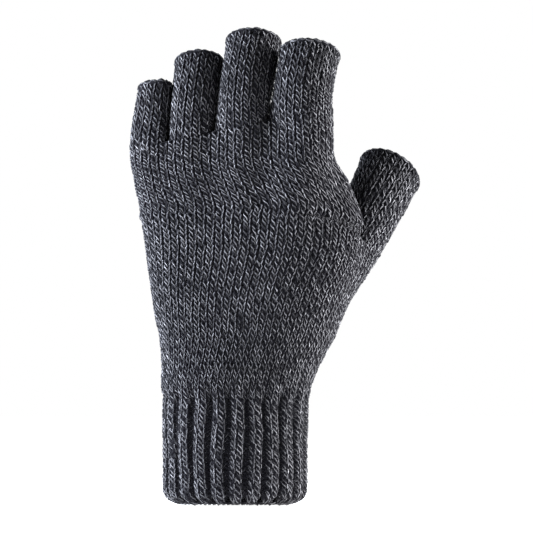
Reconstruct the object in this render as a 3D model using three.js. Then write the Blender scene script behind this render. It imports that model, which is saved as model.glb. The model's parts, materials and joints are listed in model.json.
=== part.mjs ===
// A left-hand fingerless glove, knitted as one seamless tube with five half-length stalls, and filled
// out to the shape it takes on a hand. Its trade parts are the welt, the ribbed cuff with its laid-in
// elastic, the five-finger palm, the four-finger palm, and for each digit a knuckle band, a stall and
// a cast-off edge.
// Millimetres. +Z runs from the wrist to the fingertips, the back of the hand faces -Y and the thumb
// is on the +X side.
import * as THREE from 'three';
import { LoftGeometry } from 'three/addons/geometries/LoftGeometry.js';

// Fabric
const WALL = 2.6;
const GAP = 0.3;
const CORNER_SOFTNESS = 0.8;

// Cuff: an oval tube, slightly waisted where the rib ends
const CUFF_HALF_WIDTH = 32.3;
const CUFF_HALF_DEPTH = 23.5;
const CUFF_LENGTH = 48;
const CUFF_FADE = 24;
const WAIST_DEPTH = 2.2;
const WAIST_SPREAD = 6;
const WELT_HEIGHT = 3;
const WELT_CORNER = 4;
const WELT_TURN_IN = 1.8;
const WRIST_BAND_TOP = 64;

// Elastic threads laid into the rib
const ELASTIC_RADIUS = 0.45;
const ELASTIC_HEIGHTS = [9, 20, 31, 42];

// The hand. Each line gives x, y, z of a point on a digit's centre line and the tube's radius there,
// from the wrist to the stall's rim. The web is the fold of the palm between the index and the thumb.
const HAND_LINES = {
  little: [[-14, 1, 57, 15.5], [-21, 4, 95, 16.5], [-29.5, 8, 135, 13.5],
    [-35.2, 11.5, 160, 12.6], [-34.5, 15, 174, 11.8], [-32.4, 20, 189.5, 11.1]],
  ring: [[-5, 0, 56, 14], [-9, 1, 95, 16], [-14, 3, 135, 14],
    [-18, 5, 162, 12.8], [-17.2, 9, 180, 12.6], [-14.8, 20.8, 200.5, 12.2]],
  middle: [[4, -1, 56, 14], [4, -3, 95, 16], [5, -3, 135, 14],
    [5, -2, 165, 13.2], [5.4, 2, 187, 13], [9, 15, 210, 12.7]],
  index: [[12, -1, 56, 14], [18, -5, 95, 16], [27, -8, 135, 14.5],
    [30.6, -8, 163, 13.6], [30.4, -5, 186, 13.6], [34, 4.6, 204.5, 13.4]],
  web: [[16, -2, 62, 12], [32, -5, 95, 15], [42, -5, 117, 13.5],
    [46.5, -3.5, 131, 10], [46, -2, 142, 6.5]],
  thumb: [[13, 0, 56, 13], [27, 4, 79, 17], [37, 8, 98, 15.2],
    [48, 12, 112, 14.3], [61.8, 19, 134, 13.9], [70.8, 33, 152, 14.6]],
};
const FINGERS = ['little', 'ring', 'middle', 'index'];
const PALM_LINES = [...FINGERS, 'web'];
const FOLDS = 4;

// How softly the digits run into one another: freely over the palm, tightly between the stalls
const PALM_SOFTNESS = 4;
const STALL_SOFTNESS = 0.9;
const SOFTNESS_LOW = 150;
const SOFTNESS_HIGH = 190;

// Fingers: the crotches that part them lie on a line that climbs towards the index. Each is given by
// its x, its z and the lean, in degrees, of the plane between the two fingers above it
const FINGER_LEAN = THREE.MathUtils.degToRad(5.5);
const CROTCHES = [[-30, 163, 3.5], [-9.6, 168, 7], [14.2, 172, 10]];
const FINGER_GAP = 0.7;
const KNUCKLE_HEIGHT = 169.3;
const KNUCKLE_SLOPE = 0.2;
const KNUCKLE_BAND = 14;
const EDGE_DEPTH = 2.2;
const EDGE_SWELL = 0.3;

// Thumb: it forks from the palm on a plane square to its own length
const THUMB_LEAN = THREE.MathUtils.degToRad(30.5);
const FORK = { x: 52.6, z: 120, crease: 35, creaseSoftness: 5, gap: 0.6 };

// Mesh fineness
const HAND_SIDES = 48;
const DIGIT_SIDES = 24;
const THREAD_SIDES = 6;
const THREAD_STEPS = 36;
const MARCH_STEP = 0.8;
const MARCH_LIMIT = 90;
const BISECTIONS = 14;

const YARN = { color: 0x3f4046, roughness: 0.95, metalness: 0 };
const EDGE_YARN = { color: 0x37383e, roughness: 0.95, metalness: 0 };
const ELASTIC = { color: 0x22232a, roughness: 0.7, metalness: 0 };

const { lerp, smoothstep } = THREE.MathUtils;

// A centre line as short straight pieces, each with the tube's radius at both ends
function centreLine(knots) {
  const curve = new THREE.CatmullRomCurve3(
    knots.map(([x, y, z]) => new THREE.Vector3(x, y, z)), false, 'catmullrom', 0.5);
  const count = (knots.length - 1) * FOLDS;
  const radiusAt = (t) => {
    const place = t * (knots.length - 1);
    const index = Math.min(Math.floor(place), knots.length - 2);
    return lerp(knots[index][3], knots[index + 1][3], place - index);
  };
  const stops = Array.from({ length: count + 1 }, (_, i) => ({
    point: curve.getPoint(i / count),
    radius: radiusAt(i / count),
  }));
  return { curve, stops };
}

const LINES = Object.fromEntries(
  Object.entries(HAND_LINES).map(([name, knots]) => [name, centreLine(knots)]));

// Distance from a point to the tube round one centre line, negative inside
function tubeDistance(line, p) {
  let best = Infinity;
  for (let i = 1; i < line.stops.length; i += 1) {
    const a = line.stops[i - 1];
    const b = line.stops[i];
    const dx = b.point.x - a.point.x;
    const dy = b.point.y - a.point.y;
    const dz = b.point.z - a.point.z;
    const px = p.x - a.point.x;
    const py = p.y - a.point.y;
    const pz = p.z - a.point.z;
    const along = (px * dx + py * dy + pz * dz) / (dx * dx + dy * dy + dz * dz);
    const t = Math.min(1, Math.max(0, along));
    const away = Math.hypot(px - t * dx, py - t * dy, pz - t * dz);
    best = Math.min(best, away - lerp(a.radius, b.radius, t));
  }
  return best;
}

// Distance to the oval cuff, which closes in above the wrist and turns in a little at its hem
function cuffDistance(p) {
  const waist = WAIST_DEPTH * Math.exp(-(((p.z - CUFF_LENGTH) / WAIST_SPREAD) ** 2));
  const hem = Math.max(0, 1 - p.z / WELT_CORNER);
  const turnIn = WELT_TURN_IN * (1 - Math.sqrt(Math.max(0, 1 - hem * hem)));
  const halfWidth = CUFF_HALF_WIDTH - waist - turnIn;
  const halfDepth = CUFF_HALF_DEPTH - waist - turnIn;
  const above = Math.max(0, p.z - CUFF_LENGTH) / CUFF_FADE;
  return (Math.hypot(p.x / halfWidth, p.y / halfDepth, above) - 1) * halfDepth;
}

function softMin(values, softness) {
  const sum = values.reduce((total, value) => total + Math.exp(-value / softness), 0);
  return -softness * Math.log(sum);
}

function softMax(a, b, softness) {
  return -softMin([-a, -b], softness);
}

// The outside of the whole glove
function gloveDistance(p) {
  const softness = lerp(PALM_SOFTNESS, STALL_SOFTNESS, smoothstep(p.z, SOFTNESS_LOW, SOFTNESS_HIGH));
  const parts = Object.values(LINES).map((line) => tubeDistance(line, p));
  parts.push(cuffDistance(p));
  return softMin(parts, softness);
}

// Negative on the thumb's side of the surface that parts the thumb from the palm
function thumbSide(p) {
  const palm = Math.min(...PALM_LINES.map((name) => tubeDistance(LINES[name], p)));
  return (tubeDistance(LINES.thumb, p) - palm) / 2;
}

// Distance past the plane that rises from a crotch, positive on the index finger's side of it
function pastCrotch([x, z, degrees], p) {
  const lean = THREE.MathUtils.degToRad(degrees);
  return (p.x - x) * Math.cos(lean) - (p.z - z) * Math.sin(lean);
}

// Negative between the two planes that part one finger from its neighbours
function fingerSide(index, p) {
  const fromLeft = index > 0 ? pastCrotch(CROTCHES[index - 1], p) : Infinity;
  const fromRight = index < CROTCHES.length ? -pastCrotch(CROTCHES[index], p) : Infinity;
  return FINGER_GAP / 2 - Math.min(fromLeft, fromRight);
}

// The solid of one digit: part of the hand at its root (freedom 0), a tube of its own further up (1)
function digitSolid(name, freedom) {
  const index = FINGERS.indexOf(name);
  const side = index < 0 ? (p) => thumbSide(p) + GAP / 2 : (p) => fingerSide(index, p);
  return (p) => {
    const tube = lerp(gloveDistance(p), tubeDistance(LINES[name], p), freedom);
    return softMax(tube, side(p), CORNER_SOFTNESS);
  };
}

function fourFingerPalm(p) {
  return softMax(gloveDistance(p), GAP / 2 - thumbSide(p), CORNER_SOFTNESS);
}

// How far along a path from inside the solid its skin lies; depth is the skin's depth in the fabric
function reach(pathAt, solid, depth) {
  let near = 0;
  let far = MARCH_STEP;
  while (far < MARCH_LIMIT && solid(pathAt(far)) < -depth) {
    near = far;
    far += MARCH_STEP;
  }
  for (let i = 0; i < BISECTIONS; i += 1) {
    const middle = (near + far) / 2;
    if (solid(pathAt(middle)) < -depth) near = middle;
    else far = middle;
  }
  return pathAt(near).clone();
}

// The height surfaces that divide the hand, each a function of x
const wristTop = () => WRIST_BAND_TOP;
const fork = (x) => {
  const past = Math.log(1 + Math.exp((x - FORK.crease) / FORK.creaseSoftness)) * FORK.creaseSoftness;
  return FORK.z - Math.tan(THUMB_LEAN) * (FORK.crease + past - FORK.x);
};
const knuckles = (x) => KNUCKLE_HEIGHT + KNUCKLE_SLOPE * x;
const raised = (surface, lift) => (x) => surface(x) + lift;
const between = (low, high, t) => (x) => lerp(low(x), high(x), t);

// Where a centre line passes a condition that rises along it
function passing(line, condition) {
  let low = 0;
  let high = 1;
  for (let i = 0; i < BISECTIONS * 2; i += 1) {
    const middle = (low + high) / 2;
    if (condition(line.curve.getPoint(middle)) < 0) low = middle;
    else high = middle;
  }
  return (low + high) / 2;
}

function crossing(line, surface) {
  return line.curve.getPoint(passing(line, (p) => p.z - surface(p.x)));
}

// A place on the broken line through the digits' centres, from the right end (0) to the left (1)
function hubAt(centres, t) {
  const place = (1 - t) * (centres.length - 1);
  const index = Math.min(Math.floor(place), centres.length - 2);
  return centres[index].clone().lerp(centres[index + 1], place - index);
}

// One closed ring of the hand's skin on a height surface
function handRing(surface, names, solid, depth) {
  const centres = names.map((name) => crossing(LINES[name], surface));
  return Array.from({ length: HAND_SIDES }, (_, i) => {
    const angle = (i / HAND_SIDES) * Math.PI * 2;
    const hub = hubAt(centres, (1 - Math.cos(angle)) / 2);
    const point = new THREE.Vector3();
    const pathAt = (r) => {
      const x = hub.x + r * Math.cos(angle);
      return point.set(x, hub.y + r * Math.sin(angle), surface(x));
    };
    return reach(pathAt, solid, depth);
  });
}

// One closed ring on a flat section through a centre point
function flatRing(section, sides, solid, depth) {
  return Array.from({ length: sides }, (_, i) => {
    const angle = (i / sides) * Math.PI * 2;
    const ray = section.across.clone().multiplyScalar(Math.cos(angle));
    ray.addScaledVector(section.back, Math.sin(angle));
    const point = new THREE.Vector3();
    const pathAt = (r) => point.copy(section.centre).addScaledVector(ray, r);
    return reach(pathAt, solid, depth);
  });
}

// A sleeve of fabric: its outer skin up, its inner skin down, and back to the start
function sleeve(name, outerRings, innerRings, material) {
  const sections = [...outerRings, ...innerRings.reverse(), outerRings[0]];
  const geometry = new LoftGeometry(sections, { closed: true });
  const mesh = new THREE.Mesh(geometry, new THREE.MeshStandardMaterial(material));
  mesh.name = name;
  return mesh;
}

function cuffSection(z) {
  return {
    centre: new THREE.Vector3(0, 0, z),
    across: new THREE.Vector3(1, 0, 0),
    back: new THREE.Vector3(0, 1, 0),
  };
}

function cuffSleeve(name, heights, material = YARN) {
  const rings = (depth) => heights.map((z) => (
    flatRing(cuffSection(z), HAND_SIDES, gloveDistance, depth)));
  return sleeve(name, rings(0), rings(WALL), material);
}

function steps(count, from = 0, to = 1) {
  return Array.from({ length: count + 1 }, (_, i) => lerp(from, to, i / count));
}

function handSleeve(name, low, high, rows, names, solid) {
  const rings = (depth) => steps(rows).map((t) => (
    handRing(between(low, high, t), names, solid, depth)));
  return sleeve(name, rings(0), rings(WALL), YARN);
}

// An elastic thread just inside the rib, as a ring of small round sections
function elasticThread(name, height) {
  const depth = WALL + GAP + ELASTIC_RADIUS;
  const route = flatRing(cuffSection(height), THREAD_STEPS, gloveDistance, depth);
  const sections = route.map((point) => {
    const outward = new THREE.Vector3(point.x, point.y, 0).normalize();
    return steps(THREAD_SIDES - 1, 0, (Math.PI * 2 * (THREAD_SIDES - 1)) / THREAD_SIDES).map((turn) => (
      point.clone()
        .addScaledVector(outward, ELASTIC_RADIUS * Math.cos(turn))
        .sub(new THREE.Vector3(0, 0, ELASTIC_RADIUS * Math.sin(turn)))));
  });
  const geometry = new LoftGeometry([...sections, sections[0]], { closed: true });
  const mesh = new THREE.Mesh(geometry, new THREE.MeshStandardMaterial(ELASTIC));
  mesh.name = name;
  return mesh;
}

// Section of a digit: roll turns it in the plane of the hand, tilt leans it towards the palm
function digitSection(line, t, lean, roll, tilt) {
  const length = new THREE.Vector3(Math.sin(lean), 0, Math.cos(lean));
  const back = new THREE.Vector3(0, Math.cos(tilt), 0).addScaledVector(length, -Math.sin(tilt));
  return {
    centre: line.curve.getPoint(t),
    across: new THREE.Vector3(Math.cos(roll), 0, -Math.sin(roll)),
    back,
  };
}

function digitPieces(name, lean, base, baseRoll) {
  const line = LINES[name];
  const length = new THREE.Vector3(Math.sin(lean), 0, Math.cos(lean));
  const start = crossing(line, base);
  const heightOf = (p) => p.clone().sub(start).dot(length);
  const placeAt = (height) => passing(line, (p) => heightOf(p) - height);
  const tangent = line.curve.getTangent(1);
  const rimTilt = Math.atan2(tangent.y, tangent.dot(length));
  const rimHeight = heightOf(line.curve.getPoint(1));
  const edgeHeight = rimHeight - EDGE_DEPTH * Math.cos(rimTilt);

  const rootSection = (t) => {
    const low = passing(line, (p) => p.z - raised(base, GAP)(p.x));
    return digitSection(line, lerp(low, placeAt(KNUCKLE_BAND), t), lean, lerp(baseRoll, lean, t), 0);
  };
  const stallSection = (t) => {
    const height = lerp(KNUCKLE_BAND + GAP, edgeHeight - GAP, t);
    return digitSection(line, placeAt(height), lean, lean, rimTilt * t);
  };
  const edgeSection = (t) => (
    digitSection(line, placeAt(lerp(edgeHeight, rimHeight, t)), lean, lean, rimTilt));

  const build = (part, rows, sectionAt, freedomAt, swell, material) => {
    const rings = (depth) => steps(rows).map((t) => (
      flatRing(sectionAt(t), DIGIT_SIDES, digitSolid(name, freedomAt(t)), depth)));
    return sleeve(`${name}_${part}`, rings(-swell), rings(WALL), material);
  };
  return [
    build('root', 3, rootSection, (t) => t, 0, YARN),
    build('stall', 4, stallSection, () => 1, 0, YARN),
    build('edge', 1, edgeSection, () => 1, EDGE_SWELL, EDGE_YARN),
  ];
}

const glove = new THREE.Group();
glove.name = 'fingerless_glove';

glove.add(
  cuffSleeve('cuff_welt', [0, 0.8, 1.8, WELT_HEIGHT], EDGE_YARN),
  cuffSleeve('cuff_rib', [WELT_HEIGHT + GAP, 8, 24, 40, CUFF_LENGTH]),
  cuffSleeve('wrist_band', steps(3, CUFF_LENGTH + GAP, WRIST_BAND_TOP - GAP)),
);
ELASTIC_HEIGHTS.forEach((height, i) => {
  glove.add(elasticThread(`cuff_elastic_${i + 1}`, height));
});

glove.add(
  handSleeve('palm_lower', wristTop, fork, 6, [...FINGERS, 'thumb'], gloveDistance),
  handSleeve('palm_upper', raised(fork, FORK.gap), raised(knuckles, -GAP), 5, FINGERS, fourFingerPalm),
);
FINGERS.forEach((name) => {
  glove.add(...digitPieces(name, FINGER_LEAN, knuckles, -Math.atan(KNUCKLE_SLOPE)));
});
glove.add(...digitPieces('thumb', THUMB_LEAN, fork, THUMB_LEAN));

// The origin is the middle of the glove's footprint, on the surface its cuff stands on
const extent = new THREE.Box3().setFromObject(glove);
glove.position.set(-(extent.min.x + extent.max.x) / 2, -(extent.min.y + extent.max.y) / 2, 0);

export default glove;
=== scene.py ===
"""A left-hand fingerless glove knitted without seams in a marled four-ply yarn.

Every stitch is a closed loop of yarn. A flat panel of loops is knitted for each part of the glove,
and is then laid on a lattice of wales (columns) and courses (rows) that is measured on that part's
fabric.
"""
import json
import math

import bmesh
import bpy
import numpy as np
from mathutils import Matrix, Vector
from mathutils.bvhtree import BVHTree


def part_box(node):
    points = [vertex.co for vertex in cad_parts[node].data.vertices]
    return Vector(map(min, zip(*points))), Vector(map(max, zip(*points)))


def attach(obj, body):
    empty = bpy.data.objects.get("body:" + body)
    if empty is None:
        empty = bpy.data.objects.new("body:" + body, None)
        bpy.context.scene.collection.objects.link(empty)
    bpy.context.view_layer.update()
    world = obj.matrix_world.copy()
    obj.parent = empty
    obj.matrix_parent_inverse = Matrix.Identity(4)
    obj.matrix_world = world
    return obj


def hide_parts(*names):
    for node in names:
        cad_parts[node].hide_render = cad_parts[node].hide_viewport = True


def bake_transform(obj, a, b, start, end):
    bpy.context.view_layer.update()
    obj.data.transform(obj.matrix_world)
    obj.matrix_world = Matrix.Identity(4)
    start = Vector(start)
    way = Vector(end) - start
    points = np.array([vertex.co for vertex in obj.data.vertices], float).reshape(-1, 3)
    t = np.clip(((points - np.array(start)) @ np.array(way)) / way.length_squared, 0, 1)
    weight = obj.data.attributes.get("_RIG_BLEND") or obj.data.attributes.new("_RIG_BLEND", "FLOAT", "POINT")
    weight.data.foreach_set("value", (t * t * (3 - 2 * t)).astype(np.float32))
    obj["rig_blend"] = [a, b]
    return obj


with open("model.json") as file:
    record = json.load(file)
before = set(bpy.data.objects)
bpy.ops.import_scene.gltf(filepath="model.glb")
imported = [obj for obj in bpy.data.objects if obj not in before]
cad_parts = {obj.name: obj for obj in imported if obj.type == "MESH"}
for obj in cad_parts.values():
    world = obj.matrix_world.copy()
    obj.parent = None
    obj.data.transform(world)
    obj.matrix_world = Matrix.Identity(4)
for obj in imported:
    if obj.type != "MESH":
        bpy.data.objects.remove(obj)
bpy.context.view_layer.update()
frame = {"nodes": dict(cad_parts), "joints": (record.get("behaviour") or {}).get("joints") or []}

MM = 0.001
TAU = 2 * math.pi
rng = np.random.default_rng(7)

# The yarn, and the loop it makes in each stitch
YARN_RADIUS = 0.86 * MM
YARN_SIDES = 5
LOOP_STATIONS = (-180, -140, -105, -75, -40, 0, 40, 75, 105, 140, 180)
WALE = 3.9 * MM
RIB_WALE = 2.81 * MM
COURSE = 2.25 * MM
LOOP_RISE = 0.88
LOOP_SPREAD = 0.25
LOOP_CROWN = 0.6 * MM
LOOP_SKEW = 0.14

# How far the stitches stray from their places, in wales, in courses and in metres
STRAY_ACROSS = 0.035
STRAY_UP = 0.05
STRAY_OUT = 0.09 * MM

# The yarn has two pale and two dark plies, which turn once in every stitch, so a pale one comes up
# on each leg. The plies' colours are the yarn's own, but PLY_START turns them so that a pale ply faces
# out at the middle of every leg, partly as a painted highlight on the front of each leg
PALE_PLIES = 2
TWISTS = -1
PLY_START = 0.75
MARL_DRIFT = 0.05
MARL_STRETCHES = 60
TONE_SPREAD = 0.3
TONE_LIMITS = (0.3, 1.7)

# The finer chain along each free edge
CHAIN_RADIUS = 0.66 * MM
CHAIN_SIDES = 9
CHAIN_FLATNESS = 0.7
CHAIN_TONE = 0.8
CHAIN_INSET = 0.15
EDGE_RADIUS = 0.85 * MM

# Depths in the 2.6 mm thick fabric: the middle of the loops below the outer skin, how much lower a
# course lies that runs on under the next piece, and the thickness of the ground
FABRIC_MIDDLE = 1.2 * MM
UNDER_DROP = 0.7 * MM
GROUND_THICKNESS = 0.5 * MM

# How far the sides of neighbouring fingers bulge, and how narrow the bulge is
FLANK_BULGE = 0.45 * MM
FLANK_NARROWNESS = 4

# The rib: repeats of two knit wales and one sunken purl wale
RIB_PATTERN = (1, 1, -1)
RIB_REPEATS = 21
RIB_STITCHES = len(RIB_PATTERN)
CUFF_WALES = RIB_REPEATS * RIB_STITCHES
RIB_KNIT_RISE = 0.4 * MM
RIB_PURL_DROP = 1.9 * MM
RIB_PURL_SHARPNESS = 2.2
# painted shade: RIB_PURL_SHADE darkens the yarn of the sunken purl wales, as they lie in shadow between the
# knit wales
RIB_PURL_SHADE = 0.8
RIB_SQUEEZE = 0.12
RIB_FADE_COURSES = 3

# How far the ribs wander, in wales. The rest is in radians: the wave of it up the courses and from
# rib to rib, and the slower wave of its strength
RIB_WANDER = 0.28
WANDER_PER_COURSE = 0.21
WANDER_PER_RIB = 0.9
STRENGTH_START = 0.05
STRENGTH_PER_COURSE = 0.11

# The cuff's lower edge: the height of its first course, and its rounded corners
WELT_RISE = 1.3 * MM
CORNER = 7 * MM
CORNER_SHARE = 0.75

# The hinge of each digit lies in the middle of a 14 mm knuckle band
HALF_KNUCKLE_BAND = 7 * MM

# The rays that measure the fabric, and the line through the hand's section that they start from. A
# ray much shorter than its neighbours up and down has slipped through a gap
RAYS = 144
RAY_LENGTH = 0.15
SHORT_RAY = 0.45
DIGIT_INSET = 0.015
HUB_STEP = 2.5 * MM
HUB_REACH = 75 * MM
HUB_INSET = 8 * MM
HUB_DEPTH_SHARE = 0.7
HUB_LEAST_SPANS = 10
HUB_SMOOTHINGS = 4

FINGERS = ("little", "ring", "middle", "index")
DIGITS = FINGERS + ("thumb",)
joints = {joint["name"]: joint for joint in frame["joints"]}


# ---------------------------------------------------------------------------
# Measuring the fabric
# ---------------------------------------------------------------------------
def skin(*names):
    """A search tree of the outer and inner faces of some of the frame's sleeves."""
    bm = bmesh.new()
    for name in names:
        bm.from_mesh(frame["nodes"][name].data)
    bmesh.ops.remove_doubles(bm, verts=bm.verts, dist=0.001 * MM)
    tree = BVHTree.FromBMesh(bm)
    bm.free()
    return tree


def outside_hit(tree, centre, direction):
    """How far from centre the outer skin lies along a direction, or nan."""
    start = centre + direction * RAY_LENGTH
    hit = tree.ray_cast(start, -direction, RAY_LENGTH)[0]
    return math.nan if hit is None else (hit - centre).length


def smooth(t):
    t = min(1.0, max(0.0, t))
    return t * t * (3 - 2 * t)


def mix(a, b, t):
    return a + (b - a) * t


class Digit:
    """What the frame says about one finger or the thumb."""

    def __init__(self, name):
        joint = joints[f"{name}_bend"]
        axis = Vector(joint["axis"]).normalized()
        self.name = name
        self.hinge = Vector(joint["pos_m"])
        self.lean = math.atan2(axis.z, -axis.x)
        self.length_way = Vector((math.sin(self.lean), 0, math.cos(self.lean)))
        self.base = self.hinge - self.length_way * HALF_KNUCKLE_BAND
        low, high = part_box(f"{name}_edge")
        self.rim = (low + high) / 2
        self.rim_way = ring_axis(f"{name}_edge")
        self.rim_tilt = math.atan2(self.rim_way.y, self.rim_way.dot(self.length_way))

    def centre(self, t):
        """A point on the centre line, from the base (0) to the rim (1)."""
        reach = (self.rim - self.base).length
        start_way = (self.hinge - self.base).normalized()
        control_a = self.base + start_way * reach / 3
        control_b = self.rim - self.rim_way * reach / 3
        s = 1 - t
        return (self.base * s ** 3 + control_a * (3 * s * s * t)
                + control_b * (3 * s * t * t) + self.rim * t ** 3)


def ring_axis(name):
    """The axis of a flat ring: the direction in which its points spread least."""
    points = np.array([v.co for v in frame["nodes"][name].data.vertices])
    ways = np.linalg.eigh(np.cov((points - points.mean(0)).T))[1]
    way = Vector(ways[:, 0])
    return way if way.z > 0 else -way


digits = {name: Digit(name) for name in DIGITS}
thumb = digits["thumb"]

# The two surfaces that divide the hand, as heights over x
first, last = digits["little"].base, digits["index"].base
KNUCKLE_SLOPE = (last.z - first.z) / (last.x - first.x)
PALM_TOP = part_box("palm_lower")[1].z
FORK_SLOPE = -math.tan(thumb.lean)
FORK_CREASE = thumb.base.x + (PALM_TOP - thumb.base.z) / FORK_SLOPE
FORK_SOFTNESS = 5 * MM
FORK_GAP = 0.6 * MM

# The web closes gaps wider than WEB_GAP near the fork. It overlaps the fabric by a few wales at
# either end, and its lattice has a border of spare wales, because a lattice joins up its ends
WEB_GAP = 0.9 * MM
WEB_REACH = 15 * MM
WEB_OVERLAP = 2
WEB_BORDER = 2

# The four-finger palm's first course is pinned to the wales below it at places spaced evenly round
# the hand, except close to the fork
PALM_PINS = 16
PIN_CLEARANCE = 4 * MM


def knuckle_height(x):
    return first.z + KNUCKLE_SLOPE * (x - first.x)


def fork_height(x):
    past = math.log1p(math.exp((x - FORK_CREASE) / FORK_SOFTNESS)) * FORK_SOFTNESS
    return PALM_TOP + FORK_GAP + FORK_SLOPE * past


def fill_gaps(radii):
    """Closes the few rays that slipped between two sleeves, from the courses above and below."""
    for column in radii.T:
        middle = np.nanmedian(column)
        column[column < SHORT_RAY * middle] = math.nan
        fill_column(column)
    return radii


def soften(radii, rounds=2):
    """Evens out the facets of the frame, round the ring and along it."""
    for _ in range(rounds):
        radii = (np.roll(radii, 1, 1) + 2 * radii + np.roll(radii, -1, 1)) / 4
        inner = (radii[:-2] + 2 * radii[1:-1] + radii[2:]) / 4
        radii = np.vstack([radii[:1], inner, radii[-1:]])
    return radii


def hand_hub(tree, height):
    """The two ends of a line through the middle of the hand's section, or nan where it has gaps."""
    spans = []
    for x in np.arange(-HUB_REACH / HUB_STEP, HUB_REACH / HUB_STEP) * HUB_STEP:
        front = tree.ray_cast(Vector((x, -RAY_LENGTH, height(x))), Vector((0, 1, 0)))[0]
        back = tree.ray_cast(Vector((x, RAY_LENGTH, height(x))), Vector((0, -1, 0)))[0]
        if front is not None and back is not None:
            spans.append((x, (front.y + back.y) / 2, (back.y - front.y) / 2))
    if len(spans) < HUB_LEAST_SPANS:
        return (math.nan,) * 4
    thickest = max(s[2] for s in spans)
    deep = [s for s in spans if s[2] > HUB_DEPTH_SHARE * thickest]
    return deep[0][0] + HUB_INSET, deep[0][1], deep[-1][0] - HUB_INSET, deep[-1][1]


def fill_column(column):
    """Fills the gaps in a run of numbers from the numbers either side."""
    good = ~np.isnan(column)
    column[~good] = np.interp(np.flatnonzero(~good), np.flatnonzero(good), column[good])


def hand_rings(tree, heights):
    """Rings of points on the outer skin of the hand, one for each height surface, from the little
    finger's side across the back of the hand, round the thumb's side and back over the palm."""
    ends = np.array([hand_hub(tree, height) for height in heights])
    for column in ends.T:
        fill_column(column)
    for _ in range(HUB_SMOOTHINGS):
        ends[1:-1] = (ends[:-2] + 2 * ends[1:-1] + ends[2:]) / 4
    origins, ways, radii = [], [], []
    for height, (lx, ly, rx, ry) in zip(heights, ends):
        for i in range(RAYS):
            angle = math.pi + TAU * i / RAYS
            share = (1 + math.cos(angle)) / 2
            x = mix(lx, rx, share)
            slope = (height(x + MM) - height(x - MM)) / (2 * MM)
            origin = Vector((x, mix(ly, ry, share), height(x)))
            way = Vector((math.cos(angle), math.sin(angle), slope * math.cos(angle)))
            origins.append(origin)
            ways.append(way)
            radii.append(outside_hit(tree, origin, way.normalized()) / way.length)
    shape = (len(heights), RAYS)
    radii = soften(fill_gaps(np.array(radii).reshape(shape)))
    return (np.array(origins).reshape(*shape, 3)
            + np.array(ways).reshape(*shape, 3) * radii[..., None])


def digit_rings(digit, courses, base_roll):
    """Rings of points on the outer skin of one digit, from the knuckles or the fork to the rim. The
    fabric of neighbouring fingers bulges until it touches."""
    tree = skin(*(f"{digit.name}_{part}" for part in ("root", "stall", "edge")))
    band_share = 2 * HALF_KNUCKLE_BAND / (digit.rim - digit.base).length
    origins, ways, radii = [], [], []
    for t in np.linspace(DIGIT_INSET, 1 - DIGIT_INSET, courses + 1):
        roll = mix(base_roll, digit.lean, smooth(t / band_share))
        tilt = digit.rim_tilt * max(0, t - band_share) / (1 - band_share)
        across = Vector((math.cos(roll), 0, -math.sin(roll)))
        back = Vector((0, math.cos(tilt), 0)) - digit.length_way * math.sin(tilt)
        for i in range(RAYS):
            angle = math.pi + TAU * i / RAYS
            way = across * math.cos(angle) + back * math.sin(angle)
            origins.append(digit.centre(t))
            ways.append(way)
            radii.append(outside_hit(tree, digit.centre(t), way.normalized()))
    shape = (courses + 1, RAYS)
    radii = soften(fill_gaps(np.array(radii).reshape(shape)))
    sides = np.cos(math.pi + TAU * np.arange(RAYS) / RAYS)
    if digit.name in FINGERS[:-1]:
        radii += FLANK_BULGE * sides.clip(0, 1) ** FLANK_NARROWNESS
    if digit.name in FINGERS[1:]:
        radii += FLANK_BULGE * (-sides).clip(0, 1) ** FLANK_NARROWNESS
    return (np.array(origins).reshape(*shape, 3)
            + np.array(ways).reshape(*shape, 3) * radii[..., None])


def ring_lengths(ring):
    """The ring closed up, and the length run at each of its points."""
    closed = np.vstack([ring, ring[:1]])
    runs = np.concatenate([[0], np.cumsum(np.linalg.norm(np.diff(closed, axis=0), axis=1))])
    return closed, runs


def spread_wales(rings, wales, pins=()):
    """Spaces the wales evenly round each ring. Pins, which are (share of the ring, wale) pairs,
    shift them in the first course to meet the wales below, and let go by the last course."""
    numbers = np.arange(wales)
    shift = np.zeros(wales)
    if pins:
        shares, held = np.array(sorted(pins, key=lambda pin: pin[1])).T
        shift = np.interp(numbers, held, shares - held / wales, period=wales)
    even = []
    for i, ring in enumerate(rings):
        closed, runs = ring_lengths(ring)
        hold = 1 - smooth(i / (len(rings) - 1))
        places = ((numbers / wales + shift * hold) % 1.0) * runs[-1]
        even.append(np.stack([np.interp(places, runs, closed[:, k]) for k in range(3)], 1))
    return np.array(even)


def wale_at(row, point):
    """The wale, with its fraction, where a course of another piece passes nearest a point."""
    starts, spans = row, np.roll(row, -1, 0) - row
    share = ((point - starts) * spans).sum(1) / (spans ** 2).sum(1)
    share = np.clip(share, 0, 1)
    gaps = np.linalg.norm(starts + spans * share[:, None] - point, axis=1)
    nearest = int(gaps.argmin())
    return nearest + share[nearest]


def nearest_point(row, point):
    """The point of a course that lies nearest another point."""
    place = wale_at(row, point)
    start = int(place)
    return mix(row[start % len(row)], row[(start + 1) % len(row)], place - start)


def matching_pin(ring, index, wales, row):
    """Pins one point of a ring to the same part of a stitch as in the course below it."""
    _, runs = ring_lengths(ring)
    share = runs[index] / runs[-1]
    below = wale_at(row, ring[index])
    return share, below + round(share * wales - below)


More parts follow.
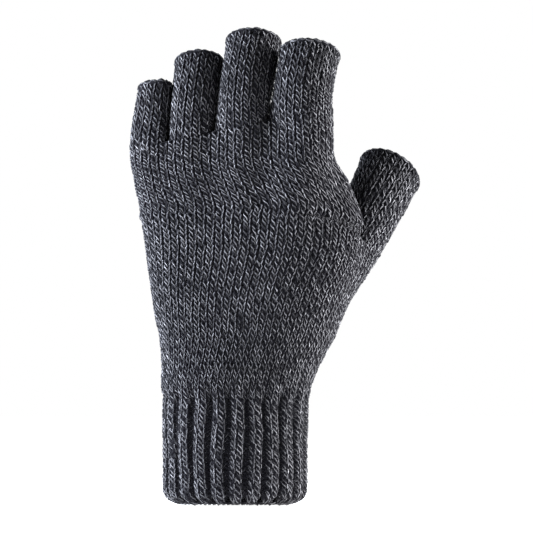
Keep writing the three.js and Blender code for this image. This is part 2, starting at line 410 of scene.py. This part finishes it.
class Lattice:
    """The wales and courses of one part. u counts wales round it, v counts courses up it."""

    def __init__(self, points):
        self.points = points
        self.courses = len(points) - 1
        self.wales = points.shape[1]
        along_u = np.roll(points, -1, 1) - np.roll(points, 1, 1)
        along_v = np.gradient(points, axis=0)
        normals = np.cross(along_u, along_v)
        self.normals = normals / np.linalg.norm(normals, axis=2, keepdims=True)

    def blend(self, grid, u, v):
        """Smooth interpolation of a grid, running on straight past its ends."""
        inside = np.clip(v, 0, self.courses)
        row = np.minimum(inside.astype(int), self.courses - 1)
        column = np.floor(u).astype(int)
        fu = curve_weights(u - column)
        fv = curve_weights(inside - row)
        total = 0
        for i in range(4):
            rows = np.clip(row + i - 1, 0, self.courses)
            for j in range(4):
                columns = (column + j - 1) % self.wales
                total = total + grid[rows, columns] * (fv[i] * fu[j])[:, None]
        return total

    def place(self, u, v, height):
        """Points at a height over the fabric's skin, in metres."""
        normal = self.blend(self.normals, u, v)
        normal /= np.linalg.norm(normal, axis=1, keepdims=True)
        point = self.blend(self.points, u, v)
        over = v - np.clip(v, 0, self.courses)
        edge = self.blend(self.points, u, np.where(over > 0, self.courses, 0.0))
        inner = self.blend(self.points, u, np.where(over > 0, self.courses - 1.0, 1.0))
        point = point + (edge - inner) * np.abs(over)[:, None]
        return point + normal * height[:, None]


def curve_weights(t):
    """The four weights of a Catmull-Rom curve."""
    return ((-t + 2 * t ** 2 - t ** 3) / 2, (2 - 5 * t ** 2 + 3 * t ** 3) / 2,
            (t + 4 * t ** 2 - 3 * t ** 3) / 2, (t ** 3 - t ** 2) / 2)


# ---------------------------------------------------------------------------
# Knitting
# ---------------------------------------------------------------------------
def add_object(name, bm):
    """Turns a finished bmesh into an object of the scene."""
    mesh = bpy.data.meshes.new(name)
    bm.to_mesh(mesh)
    bm.free()
    obj = bpy.data.objects.new(name, mesh)
    bpy.context.scene.collection.objects.link(obj)
    return obj


def loop_point(t, wale, face):
    """The middle of the yarn, from one sinker (t = -pi) over the head (0) to the next one (pi)."""
    y = COURSE * LOOP_RISE * math.cos(t)
    x = wale * (t / TAU + LOOP_SPREAD * math.sin(2 * t)) - LOOP_SKEW * y
    z = -face * LOOP_CROWN * math.cos(2 * t)
    return Vector((x, y, z))


def yarn_frame(t, wale, face, place):
    """A cross-section of the yarn, whose x axis points out of the fabric."""
    step = 0.02
    way = (loop_point(t + step, wale, face) - loop_point(t - step, wale, face)).normalized()
    side = Vector((0, 0, 1)).cross(way).normalized()
    turn = Matrix((way.cross(side), side, way)).transposed().to_4x4()
    return Matrix.Translation(place + loop_point(t, wale, face)) @ turn


def rim_edges(ring):
    """The edges that join the points of a ring, each of them once, in the ring's order."""
    inside = set(ring)
    edges = [edge for vert in ring for edge in vert.link_edges if set(edge.verts) <= inside]
    return list(dict.fromkeys(edges))


def add_loop(bm, wale, face, place, radius, sides):
    """One loop of yarn with closed ends, and for its marl the places along and round the yarn."""
    along = bm.verts.layers.float.get("along") or bm.verts.layers.float.new("along")
    around = bm.verts.layers.float.get("around") or bm.verts.layers.float.new("around")
    frames = [yarn_frame(math.radians(t), wale, face, place) for t in LOOP_STATIONS]
    ring = bmesh.ops.create_circle(bm, segments=sides, radius=radius, matrix=frames[0])["verts"]
    from_frame = frames[0].inverted()
    for vert in ring:
        local = from_frame @ vert.co
        vert[around] = math.atan2(local.y, local.x) / TAU % 1.0
    start = ring
    for before, after, degrees in zip(frames, frames[1:], LOOP_STATIONS[1:]):
        grown = bmesh.ops.extrude_edge_only(bm, edges=rim_edges(ring))["geom"]
        ring = [item for item in grown if isinstance(item, bmesh.types.BMVert)]
        bmesh.ops.transform(bm, matrix=after @ before.inverted(), verts=ring)
        for vert in ring:
            vert[along] = (degrees + 180) / 360
    for end in (start, ring):
        bmesh.ops.contextual_create(bm, geom=rim_edges(end))


def face_rank(corners, count):
    """A number of its own for every face of a loop, from its lowest and its highest corner."""
    return min(corners) * count + max(corners)


def loop_panel(name, pattern, wale, repeats, courses, radius=YARN_RADIUS, sides=YARN_SIDES):
    """A flat panel of loops. In pattern, one repeat of the knitting, 1 is a knit wale and -1 a purl
    one."""
    bm = bmesh.new()
    for i, face in enumerate(pattern):
        add_loop(bm, wale, face, Vector((wale * (i + 0.5), COURSE * 0.5, 0)), radius, sides)
    bm.verts.index_update()
    bm.faces.sort(key=lambda face: face_rank([vert.index for vert in face.verts], len(bm.verts)))
    bmesh.ops.recalc_face_normals(bm, faces=bm.faces)
    along = bm.verts.layers.float["along"]
    around = bm.verts.layers.float["around"]
    marl_map = bm.loops.layers.uv.new("marl")
    for face in bm.faces:
        face.smooth = len(face.verts) == 4
        turns = [corner.vert[around] for corner in face.loops]
        crosses_start = max(turns) - min(turns) > 0.5
        for corner, turn in zip(face.loops, turns):
            whole = 1 if crosses_start and turn < 0.5 else 0
            corner[marl_map].uv = (corner.vert[along], turn + whole)
    panel = add_object(name, bm)
    for count, step in ((repeats, (wale * len(pattern), 0, 0)), (courses, (0, COURSE, 0))):
        array = panel.modifiers.new("repeat", "ARRAY")
        array.use_relative_offset = False
        array.use_constant_offset = True
        array.constant_offset_displace = step
        array.count = count
    return bake(panel)


def bake(obj):
    """Applies an object's modifiers."""
    graph = bpy.context.evaluated_depsgraph_get()
    graph.update()
    finished = bpy.data.meshes.new_from_object(obj.evaluated_get(graph))
    finished.name = obj.name
    obj.modifiers.clear()
    obj.data = finished
    return obj


def flat_points(obj):
    points = np.empty(len(obj.data.vertices) * 3)
    obj.data.vertices.foreach_get("co", points)
    return points.reshape(-1, 3)


def set_points(obj, points):
    obj.data.vertices.foreach_set("co", points.astype(np.float32).ravel())
    obj.data.update()


def rib_form(u, v, hold=1.0):
    """Where a stitch of the rib goes: its wale, how far it stands out, and how light it is, with painted
    shade that darkens the sunken purl wales.
    """
    place = u % RIB_STITCHES
    sunken = (0.5 + 0.5 * np.cos(TAU * (place - 2.5) / RIB_STITCHES)) ** RIB_PURL_SHARPNESS
    squeezed = u + hold * RIB_SQUEEZE * np.sin(TAU * (place - 1) / RIB_STITCHES)
    rib = np.floor(u / RIB_STITCHES)
    wave = np.sin(WANDER_PER_COURSE * v + WANDER_PER_RIB * rib)
    wander = hold * RIB_WANDER * wave * np.sin(STRENGTH_START + STRENGTH_PER_COURSE * v)
    rise = hold * (RIB_KNIT_RISE - (RIB_KNIT_RISE + RIB_PURL_DROP) * sunken)
    # the last value is painted shade: the sunken purl wales are darker, as they lie in shadow
    return squeezed + wander, rise, 1 - RIB_PURL_SHADE * hold * sunken


def plain_form(u, v):
    return u, np.zeros(len(u)), np.ones(len(u))


def mark_stitches(obj, stitches, tone_and_shade):
    """Gives each stitch its own stretch of the marl, and writes how light its yarn is: a random tone of its
    own, times the painted shade that the rib's form gives its sunken purl wales.
    """
    layer = obj.data.uv_layers["marl"].data
    uv = np.empty(len(layer) * 2)
    layer.foreach_get("uv", uv)
    uv = uv.reshape(stitches, -1, 2)
    stretches = rng.integers(0, MARL_STRETCHES, (stitches, 1))
    uv[..., 0] += stretches + rng.normal(0, MARL_DRIFT, (stitches, 1))
    layer.foreach_set("uv", uv.astype(np.float32).ravel())
    attribute = obj.data.attributes.new("tone_and_shade", "FLOAT", "POINT")
    own_tones = rng.normal(1, TONE_SPREAD, stitches).clip(*TONE_LIMITS)
    spread = np.repeat(own_tones, len(tone_and_shade) // stitches)
    attribute.data.foreach_set("value", (tone_and_shade * spread).astype(np.float32))


def wobble(stitches, verts_each, amount):
    """A small offset for every stitch."""
    return np.repeat(rng.normal(0, amount, stitches), verts_each)


def knit(name, lattice, pattern=(1,), wale=WALE, form=plain_form, under=0, margin=0):
    """Knits a panel and lays it on a lattice. Its first courses can run on under the piece below,
    and a patch leaves a margin of the lattice free at either side."""
    wales = lattice.wales - 2 * margin
    courses = lattice.courses + under
    piece = loop_panel(name, pattern, wale, wales // len(pattern), courses)
    points = flat_points(piece)
    stitches = wales * courses
    verts_each = len(points) // stitches
    u = points[:, 0] / wale + margin
    v = points[:, 1] / COURSE - under
    # the form's last value is painted shade for the rib's sunken purl wales
    u, rise, tone_and_shade = form(u, v)
    rise = rise - UNDER_DROP * np.clip(0.5 - v, 0, 1) * min(under, 1)
    u = u + wobble(stitches, verts_each, STRAY_ACROSS)
    v = v + wobble(stitches, verts_each, STRAY_UP)
    height = points[:, 2] - FABRIC_MIDDLE + rise + wobble(stitches, verts_each, STRAY_OUT)
    set_points(piece, lattice.place(u, v, height))
    mark_stitches(piece, stitches, tone_and_shade)
    piece.data.materials.append(marled_yarn)
    return piece


def chain_edge(name, lattice, top):
    """The chain of links that finishes a free edge. It lies along the edge and wraps over it."""
    piece = loop_panel(name, (1,), WALE, 1, lattice.wales, CHAIN_RADIUS, CHAIN_SIDES)
    points = flat_points(piece)
    stitches = lattice.wales
    turn = (points[:, 0] - WALE / 2) / EDGE_RADIUS
    reach = EDGE_RADIUS + points[:, 2] * CHAIN_FLATNESS
    over = np.cos(turn) * reach / COURSE
    v = lattice.courses + over - CHAIN_INSET if top else CHAIN_INSET - over
    u = points[:, 1] / COURSE
    height = np.sin(turn) * reach - FABRIC_MIDDLE
    set_points(piece, lattice.place(u, v, height))
    mark_stitches(piece, stitches, np.full(len(u), CHAIN_TONE))
    if not top:
        turned = bmesh.new()
        turned.from_mesh(piece.data)
        bmesh.ops.recalc_face_normals(turned, faces=turned.faces)
        turned.to_mesh(piece.data)
        turned.free()
    piece.data.materials.append(marled_yarn)
    return piece


def backing(name, lattice, form=plain_form, margin=0):
    """The closed ground of the fabric between the faces of its loops."""
    bm = bmesh.new()
    bmesh.ops.create_grid(bm, x_segments=lattice.wales * 2, y_segments=lattice.courses, size=0.5)
    piece = add_object(name, bm)
    points = flat_points(piece)
    u = (points[:, 0] + 0.5) * (lattice.wales - 2 * margin) + margin
    v = (points[:, 1] + 0.5) * lattice.courses
    u, rise, _ = form(u, v)
    set_points(piece, lattice.place(u, v, rise - FABRIC_MIDDLE))
    seam = bmesh.new()
    seam.from_mesh(piece.data)
    bmesh.ops.remove_doubles(seam, verts=seam.verts, dist=0.02 * MM)
    for face in seam.faces:
        face.smooth = True
    seam.to_mesh(piece.data)
    seam.free()
    wall = piece.modifiers.new("thickness", "SOLIDIFY")
    wall.thickness = GROUND_THICKNESS
    wall.offset = 0
    bake(piece)
    # the ground's near-black colour is painted shade behind the loops
    piece.data.materials.append(shaded_ground_yarn)
    return piece


# ---------------------------------------------------------------------------
# Materials
# ---------------------------------------------------------------------------
def new_material(name):
    material = bpy.data.materials.new(name)
    material.use_nodes = True
    nodes = material.node_tree.nodes
    return material, nodes, material.node_tree.links, nodes["Principled BSDF"]


def math_node(tree, operation, a, b=None, c=None):
    node = tree.nodes.new("ShaderNodeMath")
    node.operation = operation
    for socket, value in zip(node.inputs, (a, b, c)):
        if value is None:
            continue
        if isinstance(value, (int, float)):
            socket.default_value = value
        else:
            tree.links.new(value, socket)
    return node.outputs[0]


def marl_group():
    """Pale and dark plies twisted together, with the colour of each and the fibres along them."""
    group = bpy.data.node_groups.new("four_ply_marl", "ShaderNodeTree")
    face = group.interface
    face.new_socket("Light Ply", in_out="INPUT", socket_type="NodeSocketColor")
    face.new_socket("Dark Ply", in_out="INPUT", socket_type="NodeSocketColor")
    face.new_socket("Light Share", in_out="INPUT", socket_type="NodeSocketFloat")
    face.new_socket("Color", in_out="OUTPUT", socket_type="NodeSocketColor")
    face.new_socket("Height", in_out="OUTPUT", socket_type="NodeSocketFloat")
    nodes, links = group.nodes, group.links
    inputs = nodes.new("NodeGroupInput")
    outputs = nodes.new("NodeGroupOutput")
    uv = nodes.new("ShaderNodeUVMap")
    uv.uv_map = "marl"
    split = nodes.new("ShaderNodeSeparateXYZ")
    links.new(uv.outputs[0], split.inputs[0])
    along, around = split.outputs[0], split.outputs[1]

    # the ply that faces out changes with the twist, and wanders a little; PLY_START puts a pale ply
    # facing out at the middle of every leg, partly as a painted highlight on the legs' fronts
    drift = nodes.new("ShaderNodeTexNoise")
    drift.noise_dimensions = "1D"
    drift.inputs["Scale"].default_value = 1.3
    drift.inputs["Detail"].default_value = 1.0
    links.new(along, drift.inputs["W"])
    turned = math_node(group, "MULTIPLY_ADD", along, TWISTS, around)
    twisted = math_node(group, "MULTIPLY", turned, PALE_PLIES)
    centred = math_node(group, "MULTIPLY_ADD", drift.outputs["Fac"], 0.5, PLY_START - 0.25)
    wandering = math_node(group, "ADD", centred, twisted)
    wave = math_node(group, "SINE", math_node(group, "MULTIPLY", wandering, TAU))

    # fibres run with the plies
    place = nodes.new("ShaderNodeCombineXYZ")
    links.new(math_node(group, "MULTIPLY", along, 3.0), place.inputs[0])
    links.new(math_node(group, "MULTIPLY", wandering, 9.0), place.inputs[1])
    fibre = nodes.new("ShaderNodeTexNoise")
    fibre.inputs["Scale"].default_value = 1.6
    fibre.inputs["Detail"].default_value = 4.0
    fibre.inputs["Roughness"].default_value = 0.7
    links.new(place.outputs[0], fibre.inputs["Vector"])
    spread = math_node(group, "SUBTRACT", fibre.outputs["Fac"], 0.5)
    ragged = math_node(group, "MULTIPLY_ADD", spread, 1.5, wave)
    level = math_node(group, "ADD", ragged, inputs.outputs["Light Share"])
    ply = nodes.new("ShaderNodeMapRange")
    ply.interpolation_type = "SMOOTHSTEP"
    ply.inputs["From Min"].default_value = -0.1
    ply.inputs["From Max"].default_value = 0.75
    links.new(level, ply.inputs["Value"])

    # each stitch's own random tone, times the painted shade of the rib's sunken purl wales, scales the pale
    # ply
    tone_and_shade = nodes.new("ShaderNodeAttribute")
    tone_and_shade.attribute_name = "tone_and_shade"
    lightness = math_node(group, "MULTIPLY", ply.outputs[0], tone_and_shade.outputs["Fac"])
    blend = nodes.new("ShaderNodeMix")
    blend.data_type = "RGBA"
    blend.clamp_factor = False
    links.new(lightness, blend.inputs["Factor"])
    links.new(inputs.outputs["Dark Ply"], blend.inputs["A"])
    links.new(inputs.outputs["Light Ply"], blend.inputs["B"])
    shade = nodes.new("ShaderNodeMapRange")
    shade.inputs["From Min"].default_value = 0.3
    shade.inputs["From Max"].default_value = 0.7
    shade.inputs["To Min"].default_value = 0.55
    shade.inputs["To Max"].default_value = 1.25
    links.new(fibre.outputs["Fac"], shade.inputs["Value"])
    tint = nodes.new("ShaderNodeMix")
    tint.data_type = "RGBA"
    tint.blend_type = "MULTIPLY"
    tint.inputs["Factor"].default_value = 1.0
    links.new(blend.outputs["Result"], tint.inputs["A"])
    links.new(shade.outputs[0], tint.inputs["B"])
    links.new(tint.outputs["Result"], outputs.inputs["Color"])

    crease = math_node(group, "ABSOLUTE", wave)
    height = math_node(group, "MULTIPLY_ADD", fibre.outputs["Fac"], 0.5, crease)
    links.new(height, outputs.inputs["Height"])
    return group


marl = marl_group()


def marled_material(name, light, dark, light_share):
    material, nodes, links, shader = new_material(name)
    yarn = nodes.new("ShaderNodeGroup")
    yarn.node_tree = marl
    yarn.inputs["Light Ply"].default_value = (*light, 1)
    yarn.inputs["Dark Ply"].default_value = (*dark, 1)
    yarn.inputs["Light Share"].default_value = light_share
    links.new(yarn.outputs["Color"], shader.inputs["Base Color"])
    bump = nodes.new("ShaderNodeBump")
    bump.inputs["Strength"].default_value = 0.55
    bump.inputs["Distance"].default_value = 0.25 * MM
    links.new(yarn.outputs["Height"], bump.inputs["Height"])
    links.new(bump.outputs[0], shader.inputs["Normal"])
    shader.inputs["Roughness"].default_value = 0.88
    shader.inputs["Specular IOR Level"].default_value = 0.12
    shader.inputs["Sheen Weight"].default_value = 0.05
    shader.inputs["Sheen Roughness"].default_value = 0.5
    return material


def ground_material():
    """The ground seen between the loops: the back of the dark yarn, kept near black without its pale plies
    as painted shade in the hollows behind the loops.
    """
    material, nodes, links, shader = new_material("shaded_ground_yarn")
    place = nodes.new("ShaderNodeTexCoord")
    noise = nodes.new("ShaderNodeTexNoise")
    noise.inputs["Scale"].default_value = 900
    noise.inputs["Detail"].default_value = 3
    links.new(place.outputs["Object"], noise.inputs["Vector"])
    # near-black colours, the dark ply's own colour with no pale ply: painted shade between the loops
    ramp = nodes.new("ShaderNodeValToRGB")
    ramp.color_ramp.elements[0].position = 0.35
    ramp.color_ramp.elements[0].color = (0.004, 0.004, 0.006, 1)
    ramp.color_ramp.elements[1].position = 0.75
    ramp.color_ramp.elements[1].color = (0.022, 0.022, 0.028, 1)
    links.new(noise.outputs["Fac"], ramp.inputs[0])
    links.new(ramp.outputs[0], shader.inputs["Base Color"])
    bump = nodes.new("ShaderNodeBump")
    bump.inputs["Strength"].default_value = 0.6
    bump.inputs["Distance"].default_value = 0.3 * MM
    links.new(noise.outputs["Fac"], bump.inputs["Height"])
    links.new(bump.outputs[0], shader.inputs["Normal"])
    shader.inputs["Roughness"].default_value = 0.95
    shader.inputs["Specular IOR Level"].default_value = 0.1
    return material


def elastic_material():
    """Thread wound round a rubber core."""
    material, nodes, links, shader = new_material("covered_elastic")
    place = nodes.new("ShaderNodeTexCoord")
    wrap = nodes.new("ShaderNodeTexWave")
    wrap.bands_direction = "DIAGONAL"
    wrap.inputs["Scale"].default_value = 700
    wrap.inputs["Distortion"].default_value = 1.0
    links.new(place.outputs["Object"], wrap.inputs["Vector"])
    ramp = nodes.new("ShaderNodeValToRGB")
    ramp.color_ramp.elements[0].color = (0.008, 0.008, 0.011, 1)
    ramp.color_ramp.elements[1].color = (0.05, 0.05, 0.058, 1)
    links.new(wrap.outputs["Color"], ramp.inputs[0])
    links.new(ramp.outputs[0], shader.inputs["Base Color"])
    bump = nodes.new("ShaderNodeBump")
    bump.inputs["Strength"].default_value = 0.5
    bump.inputs["Distance"].default_value = 0.1 * MM
    links.new(wrap.outputs["Fac"], bump.inputs["Height"])
    links.new(bump.outputs[0], shader.inputs["Normal"])
    shader.inputs["Roughness"].default_value = 0.6
    return material


marled_yarn = marled_material("marled_yarn", (0.55, 0.55, 0.59), (0.005, 0.005, 0.008), -0.8)
shaded_ground_yarn = ground_material()
covered_elastic = elastic_material()


# ---------------------------------------------------------------------------
# Camera, light and floor
# ---------------------------------------------------------------------------
CAMERA_DISTANCE = 3.0
CAMERA_HEIGHT = 0.06
VIEW_WIDTH = 0.23985
VIEW_CENTRE = Vector((-0.0041, -0.0108, 0.1076))

# The even light of the white room, next to the two softboxes
ROOM_LIGHT = 0.08


def set_camera():
    data = bpy.data.cameras.new("camera")
    camera = bpy.data.objects.new("camera", data)
    bpy.context.scene.collection.objects.link(camera)
    camera.location = (VIEW_CENTRE.x, VIEW_CENTRE.y - CAMERA_DISTANCE, CAMERA_HEIGHT)
    camera.rotation_euler = (VIEW_CENTRE - camera.location).to_track_quat("-Z", "Y").to_euler()
    data.sensor_width = 36
    data.lens = data.sensor_width * CAMERA_DISTANCE / VIEW_WIDTH
    data.clip_start = 0.05
    data.clip_end = 30
    bpy.context.scene.camera = camera


def add_softbox(name, place, size, power, colour=(1, 1, 1)):
    data = bpy.data.lights.new(name, "AREA")
    data.shape = "RECTANGLE"
    data.size, data.size_y = size
    data.energy = power
    data.color = colour
    light = bpy.data.objects.new(name, data)
    bpy.context.scene.collection.objects.link(light)
    light.location = place
    light.rotation_euler = (VIEW_CENTRE - light.location).to_track_quat("-Z", "Y").to_euler()


def set_light():
    scene = bpy.context.scene
    scene.view_settings.view_transform = "Standard"
    world = bpy.data.worlds.new("studio")
    scene.world = world
    world.use_nodes = True
    nodes, links = world.node_tree.nodes, world.node_tree.links
    background = nodes["Background"]
    background.inputs["Color"].default_value = (1, 1, 1, 1)
    rays = nodes.new("ShaderNodeLightPath")
    strength = nodes.new("ShaderNodeMapRange")
    strength.inputs["To Min"].default_value = ROOM_LIGHT
    strength.inputs["To Max"].default_value = 1.0
    links.new(rays.outputs["Is Camera Ray"], strength.inputs["Value"])
    links.new(strength.outputs[0], background.inputs["Strength"])
    add_softbox("left_softbox", (-1.05, -0.07, 0.3), (0.5, 0.9), power=52, colour=(0.84, 0.9, 1))
    add_softbox("right_softbox", (1.05, 0.05, 0.25), (0.4, 0.9), power=42)


def set_floor():
    bm = bmesh.new()
    bmesh.ops.create_grid(bm, x_segments=1, y_segments=1, size=6)
    floor = add_object("floor", bm)
    material, _, _, shader = new_material("pale_floor")
    shader.inputs["Base Color"].default_value = (0.93, 0.93, 0.93, 1)
    shader.inputs["Roughness"].default_value = 0.9
    shader.inputs["Emission Color"].default_value = (1, 1, 1, 1)
    shader.inputs["Emission Strength"].default_value = 0.95
    floor.data.materials.append(material)


set_camera()
set_light()
set_floor()


# ---------------------------------------------------------------------------
# The glove
# ---------------------------------------------------------------------------
def level(z):
    return lambda x: z


def between(low, high, t):
    return lambda x: mix(low(x), high(x), t)


def rows(low, high, courses):
    """The height surfaces of the courses of a piece, from its lower edge to its upper one."""
    return [between(low, high, i / courses) for i in range(courses + 1)]


def wales_for(ring, pitch=WALE):
    return round(ring_lengths(ring)[1][-1] / pitch)


cuff_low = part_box("cuff_welt")[0].z + WELT_RISE
cuff_high = (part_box("cuff_rib")[1].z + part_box("wrist_band")[0].z) / 2
wrist_high = (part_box("wrist_band")[1].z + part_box("palm_lower")[0].z) / 2


def dress(pieces, body_a, body_b=None, start=None, end=None):
    """Hangs the pieces on their body, or blends them from one body to the other between two points."""
    for piece in pieces:
        if body_b is None:
            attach(piece, body_a)
        else:
            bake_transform(piece, body_a, body_b, start=start, end=end)


def turn_in(rings):
    """Rounds the cuff's lower corners, where the fabric draws in to its edge."""
    centre = rings[0].mean(0)
    for ring in rings:
        down = max(0.0, 1 - (ring[:, 2].mean() - cuff_low) / CORNER)
        inset = CORNER * (1 - math.sqrt(1 - down * down)) * CORNER_SHARE
        outward = (ring - centre) * (1, 1, 0)
        reach = np.linalg.norm(outward, axis=1, keepdims=True)
        ring -= outward / reach * inset


def make_cuff():
    courses = round((cuff_high - cuff_low) / COURSE)
    heights = rows(level(cuff_low), level(cuff_high), courses)
    rings = hand_rings(skin("cuff_welt", "cuff_rib"), heights)
    turn_in(rings)
    lattice = Lattice(spread_wales(rings, CUFF_WALES))
    loops = knit("cuff_loops", lattice, RIB_PATTERN, RIB_WALE, rib_form)
    ground = backing("cuff_ground", lattice, rib_form)
    dress((loops, ground), "cuff")
    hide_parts("cuff_rib")
    welt = chain_edge("welt_chain", lattice, False)
    dress((welt,), "cuff")
    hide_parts("cuff_welt")


def make_wrist():
    courses = round((wrist_high - cuff_high) / COURSE)
    rings = hand_rings(skin("wrist_band"), rows(level(cuff_high), level(wrist_high), courses))
    lattice = Lattice(spread_wales(rings, CUFF_WALES))

    def fading_rib(u, v):
        return rib_form(u, v, np.clip(1 - v / RIB_FADE_COURSES, 0, 1))

    loops = knit("wrist_loops", lattice, form=fading_rib, under=1)
    ground = backing("wrist_ground", lattice, fading_rib)
    x, y, _ = joints["wrist_bend"]["pos_m"]
    start, end = (x, y, cuff_high + MM), (x, y, wrist_high - MM)
    dress((loops, ground), "cuff", "hand", start, end)
    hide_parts("wrist_band")


def make_palm():
    # one course fewer than the height holds, so they lie a little wider apart
    courses = round((PALM_TOP - wrist_high) / COURSE) - 1
    rings = hand_rings(skin("palm_lower"), rows(level(wrist_high), fork_height, courses))
    lower = Lattice(spread_wales(rings, CUFF_WALES))
    fork_row = lower.points[-1]
    pitch = ring_lengths(rings[-1])[1][-1] / CUFF_WALES

    courses = round((knuckle_height(0) - PALM_TOP) / COURSE)
    rings = hand_rings(skin("palm_upper"), rows(fork_height, knuckle_height, courses))
    wales = wales_for(rings[0], pitch)
    runs = ring_lengths(rings[0])[1]
    pins = []
    for i in range(0, RAYS, RAYS // PALM_PINS):
        point = rings[0][i]
        if point[0] < FORK_CREASE - PIN_CLEARANCE:
            held = wale_at(fork_row, point)
            if i == 0 and held > CUFF_WALES / 2:
                held -= CUFF_WALES
            if i > RAYS / 2:
                held += wales - CUFF_WALES
            pins.append((runs[i] / runs[-1], held))
    upper = Lattice(spread_wales(rings, wales, pins))
    for name, lattice in (("palm_lower", lower), ("palm_upper", upper)):
        loops = knit(f"{name}_loops", lattice, under=1)
        dress((loops, backing(f"{name}_ground", lattice)), "hand")
        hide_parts(name)
    return lower, upper


def make_digit(digit, row_below):
    base_roll = -math.atan(KNUCKLE_SLOPE) if digit.name in FINGERS else digit.lean
    courses = round((digit.rim - digit.base).length / COURSE)
    rings = digit_rings(digit, courses, base_roll)
    wales = wales_for(rings[len(rings) // 2])
    pins = [matching_pin(rings[0], i, wales, row_below) for i in (RAYS // 4, 3 * RAYS // 4)]
    lattice = Lattice(spread_wales(rings, wales, pins))
    loops = knit(f"{digit.name}_loops", lattice, under=1)
    ground = backing(f"{digit.name}_ground", lattice)
    start = digit.base + digit.length_way * MM
    end = digit.hinge + digit.length_way * HALF_KNUCKLE_BAND
    dress((loops, ground), "hand", digit.name, start, end)
    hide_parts(f"{digit.name}_root", f"{digit.name}_stall")
    edge = chain_edge(f"{digit.name}_chain", lattice, True)
    dress((edge,), digit.name)
    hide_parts(f"{digit.name}_edge")
    return lattice


def make_web(lower_row, thumb_row, upper):
    """Knits the few stitches that join the two palms and the thumb where the thumb forks off."""
    top = upper.points[0]
    below = np.array([min((nearest_point(row, point) for row in (lower_row, thumb_row)),
                          key=lambda near: np.linalg.norm(near - point)) for point in top])
    gaps = np.linalg.norm(top - below, axis=1)
    open_wales = np.flatnonzero((gaps > WEB_GAP) & (top[:, 0] > FORK_CREASE - WEB_REACH))
    extra = WEB_OVERLAP + WEB_BORDER
    around = np.arange(open_wales[0] - extra, open_wales[-1] + extra + 1) % len(top)
    courses = max(2, round(gaps[open_wales].max() / COURSE))
    shares = [i / courses for i in range(courses + 1)]
    web = Lattice(np.array([mix(below[around], top[around], share) for share in shares]))
    web.normals = np.repeat(upper.normals[:1, around], courses + 1, axis=0)
    loops = knit("web_loops", web, under=1, margin=WEB_BORDER)
    dress((loops, backing("web_ground", web, margin=WEB_BORDER)), "hand")


make_cuff()
make_wrist()
palm_lower, palm_upper = make_palm()
for name in FINGERS:
    make_digit(digits[name], palm_upper.points[-1])
thumb_tube = make_digit(thumb, palm_lower.points[-1])
make_web(palm_lower.points[-1], thumb_tube.points[0], palm_upper)

for name, node in frame["nodes"].items():
    if name.startswith("cuff_elastic"):
        for slot in node.material_slots:
            slot.material = covered_elastic
